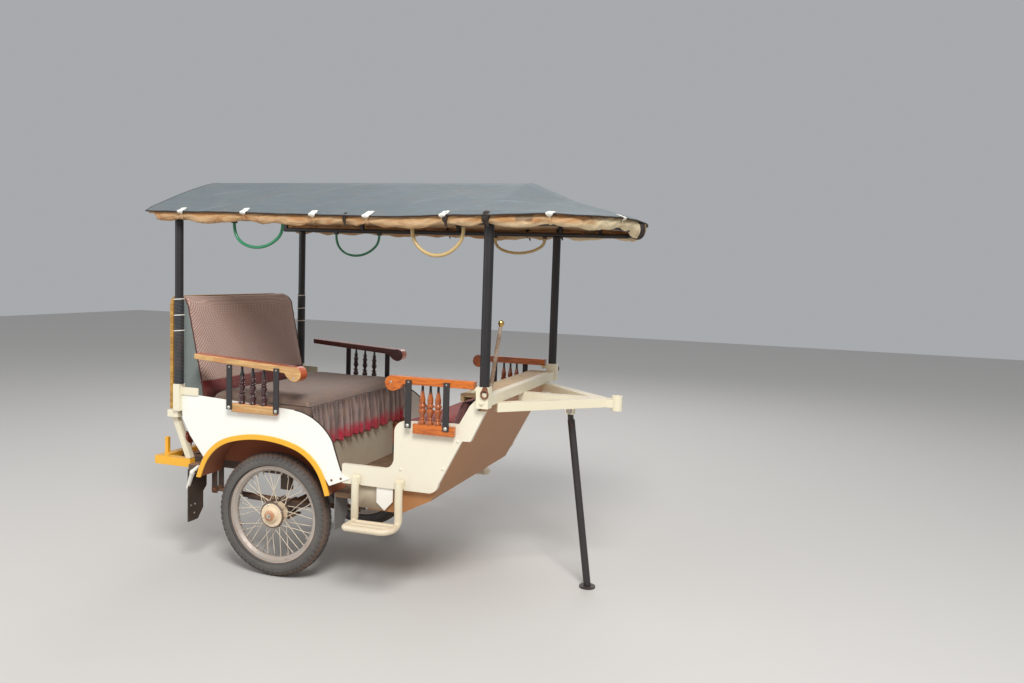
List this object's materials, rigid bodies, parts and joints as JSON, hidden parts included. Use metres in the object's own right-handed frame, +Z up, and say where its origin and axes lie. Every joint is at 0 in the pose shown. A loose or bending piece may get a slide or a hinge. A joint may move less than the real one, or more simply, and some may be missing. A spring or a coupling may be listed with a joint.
{
  "type": "tuk-tuk passenger carriage",
  "caption": "Two-wheeled passenger carriage of a motorcycle-drawn tuk-tuk, with facing cushioned seats, scrolled armrests, a canopy roof, foot steps and a drawbar with a prop leg.",
  "frame": {"origin": "on the ground under the middle of the bounding box", "axes": "+X forward towards the hitch, +Y to the carriage's left, +Z up"},
  "size_m": [2.275, 1.31, 1.8829],
  "materials": {
    "tyre": "dusty tread",
    "wheel": "dusty rim, cream hub",
    "black_steel": "worn black paint",
    "yellow_steel": "worn gloss",
    "cream_steel": "chipped gloss",
    "white_paint": "gloss, dusty",
    "liner_paint": "rusty and dull",
    "tan_paint": "satin, dusty",
    "board": "worn boards",
    "seat_cloth": "worn upholstery cloth",
    "maroon_cloth": "striped cloth",
    "armrest_wood": "worn varnish",
    "armrest_orange": "glossy orange varnish",
    "sleeve_tape": "wound tape",
    "tarp": "grey tarpaulin with a tan lining",
    "curtain": "rolled tan cloth",
    "green_hose": "dull",
    "beige_hose": "dull",
    "black_rubber": "dusty"
  },
  "bodies": {
    "carriage": {"axle": "black_steel", "leaf_springs": "black_steel", "chassis_frame": "black_steel", "floor_frame": "black_steel", "spring_hangers": "black_steel", "rear_bumper": "yellow_steel", "tail_frame": "cream_steel", "fender_right": "white_paint", "fender_left": "white_paint", "arch_trims": "yellow_steel", "wheel_wells": "liner_paint", "front_panel_right": "white_paint", "front_panel_left": "white_paint", "sill_tabs": "cream_steel", "belly_apron": "tan_paint", "floor_boards": "board", "seat_box": "board", "seat_kick_board": "cream_steel", "rear_seat_cushion": "seat_cloth", "seat_skirt": "seat_cloth", "back_cushion": "seat_cloth", "back_board": "board", "front_bench": "board", "front_bench_cushion": "maroon_cloth", "front_bench_back": "maroon_cloth", "front_rail": "cream_steel", "front_shelf": "board", "rear_armrest_right": "armrest_wood", "rear_armrest_left": "armrest_wood", "front_armrest_right": "armrest_orange", "front_armrest_left": "armrest_orange", "rear_armrest_bars": "black_steel", "front_armrest_bars": "black_steel", "roof_posts": "black_steel", "post_sleeves": "sleeve_tape", "roof_frame": "black_steel", "canopy": "tarp", "curtain_roll_right": "curtain", "curtain_roll_left": "curtain", "curtain_roll_front": "curtain", "hose_green_right": "green_hose", "hose_green_left": "green_hose", "hose_beige_right": "beige_hose", "hose_beige_left": "beige_hose", "step_right": "cream_steel", "step_left": "cream_steel", "rear_mud_flaps": "black_rubber", "front_mud_flaps": "black_rubber", "drawbar": "cream_steel", "drawbar_brace_right": "cream_steel", "drawbar_brace_left": "cream_steel", "flag_staff": "armrest_wood"},
    "wheel_right": {"tyre_right": "tyre", "wheel_right": "wheel"},
    "wheel_left": {"tyre_left": "tyre", "wheel_left": "wheel"},
    "prop_leg": {"prop_leg": "black_steel"}
  },
  "joints": [
    {"name": "wheel_right_spin", "type": "hinge", "parent": "carriage", "child": "wheel_right", "pos_m": [-0.5025, -0.441, 0.297], "axis": [0, 1, 0], "continuous": true},
    {"name": "wheel_left_spin", "type": "hinge", "parent": "carriage", "child": "wheel_left", "pos_m": [-0.5025, 0.441, 0.297], "axis": [0, 1, 0], "continuous": true},
    {"name": "prop_leg_fold", "type": "hinge", "parent": "carriage", "child": "prop_leg", "pos_m": [0.7975, 0, 0.835], "axis": [0, 1, 0], "range_deg": [0, 53]}
  ]
}
